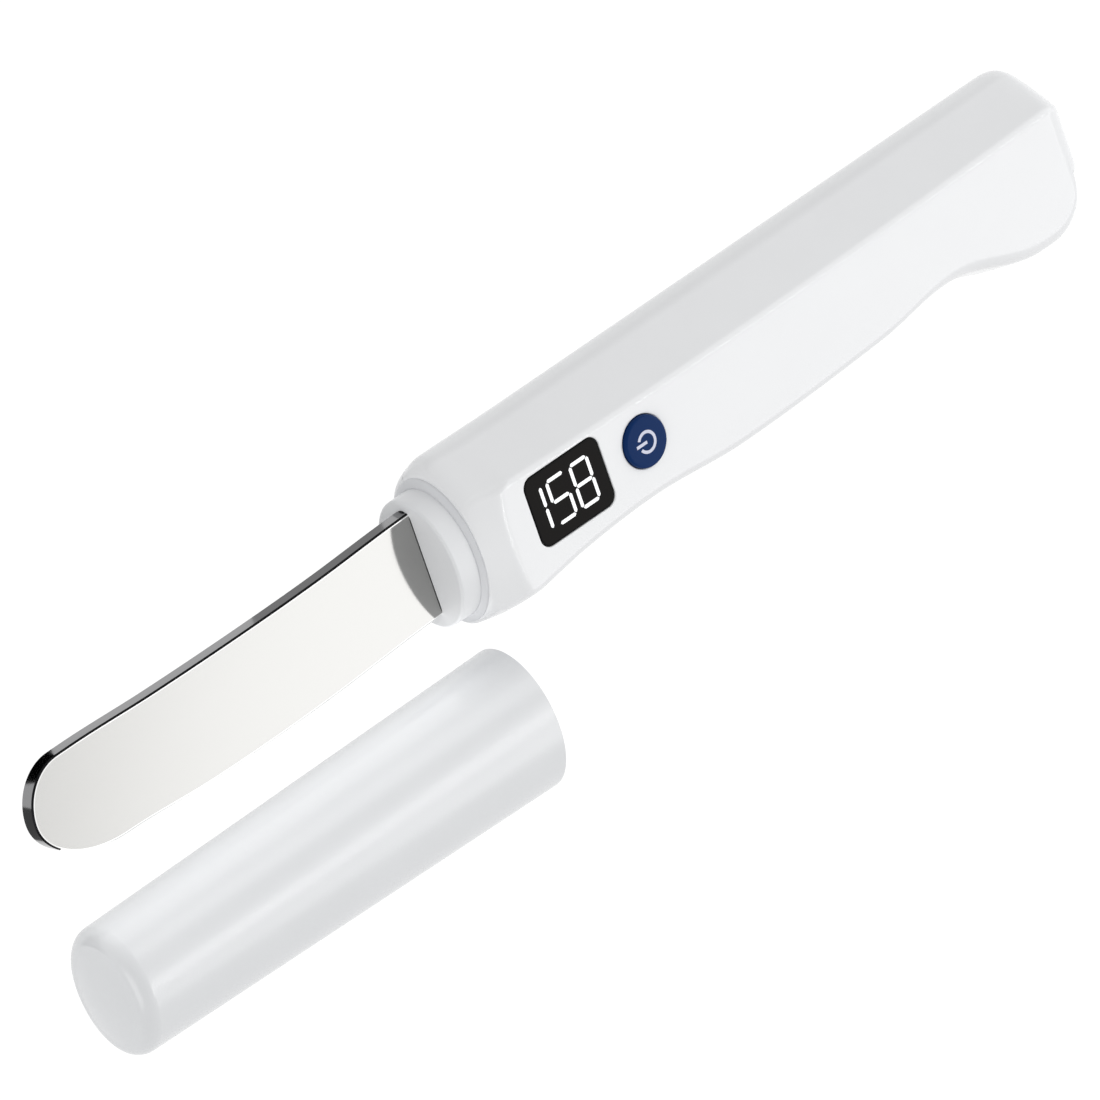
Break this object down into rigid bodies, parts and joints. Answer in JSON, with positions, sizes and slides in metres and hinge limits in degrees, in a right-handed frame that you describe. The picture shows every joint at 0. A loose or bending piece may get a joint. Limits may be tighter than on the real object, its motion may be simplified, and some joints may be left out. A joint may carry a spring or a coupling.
{
  "type": "heated spatula",
  "caption": "Cordless hand tool with a round-tipped heated steel blade in an oval neck, a moulded handle with a display and a button, and an oval pull-off cover.",
  "frame": {"origin": "on the flat back the tool rests on, at the middle of the handle's length and on the blade's long axis", "axes": "+X along the blade towards its tip, +Y towards the blade's lower edge, +Z out of the face with the display"},
  "size_m": [0.2336, 0.0627, 0.0238],
  "materials": {
    "white_shell": "satin moulded ABS",
    "white_neck": "heat-resistant moulding, satin",
    "white_cover": "satin moulded polypropylene",
    "soft_ring": "silicone",
    "polished_steel": "mirror-polished stainless steel",
    "black_window": "glossy smoked acrylic",
    "black_foam": "foam tape",
    "lit_segment": "light-diffusing resin",
    "navy_cap": "satin",
    "pale_silicone": "silicone",
    "dark_plastic": "moulded",
    "green_board": "solder mask on glass-epoxy",
    "screw_steel": "zinc-plated",
    "nickel": "nickel-plated",
    "ceramic": "alumina",
    "mica": "mica sheet",
    "cell_wrap": "shrink wrap",
    "wire_red": "insulated wire",
    "wire_white": "heat-resistant insulated wire"
  },
  "bodies": {
    "handle": {"front_housing": "white_shell", "rear_cover": "white_shell", "neck_collar": "white_neck", "neck_gasket": "soft_ring", "blade": "polished_steel", "blade_screws": "screw_steel", "heater_plate": "ceramic", "mica_sheet": "mica", "heater_clip": "nickel", "thermistor": "ceramic", "display_lens": "black_window", "lens_tape": "black_foam", "display_module": "dark_plastic", "digit_segments": "lit_segment", "switch_body": "dark_plastic", "main_board": "green_board", "control_chip": "dark_plastic", "heater_driver": "dark_plastic", "board_capacitors": "ceramic", "boost_inductor": "dark_plastic", "board_screws": "screw_steel", "battery_cell": "cell_wrap", "cell_tabs": "nickel", "cell_cradle": "dark_plastic", "cell_pad": "black_foam", "charge_board": "green_board", "charge_chip": "dark_plastic", "usb_socket": "nickel", "usb_tongue": "dark_plastic", "battery_leads": "wire_red", "heater_leads": "wire_white", "charge_leads": "wire_red", "housing_screws": "screw_steel"},
    "power_button": {"power_button": "navy_cap", "button_pad": "pale_silicone", "switch_plunger": "dark_plastic"},
    "cover": {"cover_shell": "white_cover"}
  },
  "joints": [
    {"name": "button_press", "type": "slide", "parent": "handle", "child": "power_button", "axis": [0, 0, -1], "range_m": [0, 0.0006], "stiffness_N_per_m": 1500},
    {"name": "cover_pull", "type": "slide", "parent": "handle", "child": "cover", "axis": [1, 0, 0], "range_m": [0, 0.1]}
  ]
}
